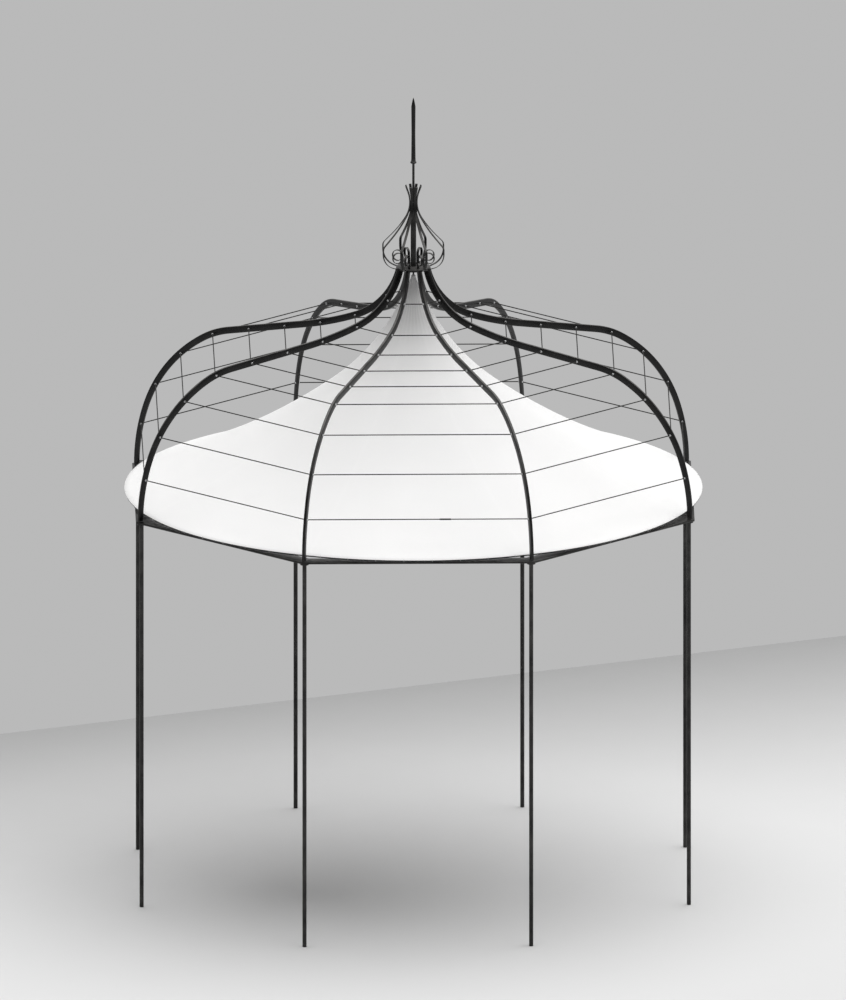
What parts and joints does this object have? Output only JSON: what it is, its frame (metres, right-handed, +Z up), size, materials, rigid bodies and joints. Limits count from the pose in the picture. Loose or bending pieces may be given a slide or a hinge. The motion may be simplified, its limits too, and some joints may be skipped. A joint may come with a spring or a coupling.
{
  "type": "garden canopy",
  "caption": "Octagonal garden canopy of black iron posts and ogee ribs, with wire hoops, a tent-shaped white sheet and an open crown with a spire.",
  "frame": {"origin": "centre of the octagon, on the ground", "axes": "+Z up, one bay faces -Y"},
  "size_m": [3.3188, 3.3188, 4.6231],
  "materials": {
    "black_iron": "satin black paint on bar, strip and rod",
    "steel_wire": "black painted rod",
    "white_cloth": "white woven awning cloth"
  },
  "bodies": {
    "root": {"post_1": "black_iron", "post_2": "black_iron", "post_3": "black_iron", "post_4": "black_iron", "post_5": "black_iron", "post_6": "black_iron", "post_7": "black_iron", "post_8": "black_iron", "post_plates": "black_iron", "ring_bar_1": "black_iron", "ring_bar_2": "black_iron", "ring_bar_3": "black_iron", "ring_bar_4": "black_iron", "ring_bar_5": "black_iron", "ring_bar_6": "black_iron", "ring_bar_7": "black_iron", "ring_bar_8": "black_iron", "rib_1": "black_iron", "rib_2": "black_iron", "rib_3": "black_iron", "rib_4": "black_iron", "rib_5": "black_iron", "rib_6": "black_iron", "rib_7": "black_iron", "rib_8": "black_iron", "wires_1": "steel_wire", "wires_2": "steel_wire", "wires_3": "steel_wire", "wires_4": "steel_wire", "wires_5": "steel_wire", "wires_6": "steel_wire", "wires_7": "steel_wire", "wires_8": "steel_wire", "wires_9": "steel_wire", "canopy": "white_cloth", "hem_hoop": "black_iron", "hem_pegs": "black_iron", "hub": "black_iron", "crown_bars": "black_iron", "crown_scrolls": "black_iron", "spindle": "black_iron", "crown_collar": "black_iron", "spire_rod": "black_iron", "spire_washer": "black_iron", "spire_spear": "black_iron"}
  },
  "joints": []
}
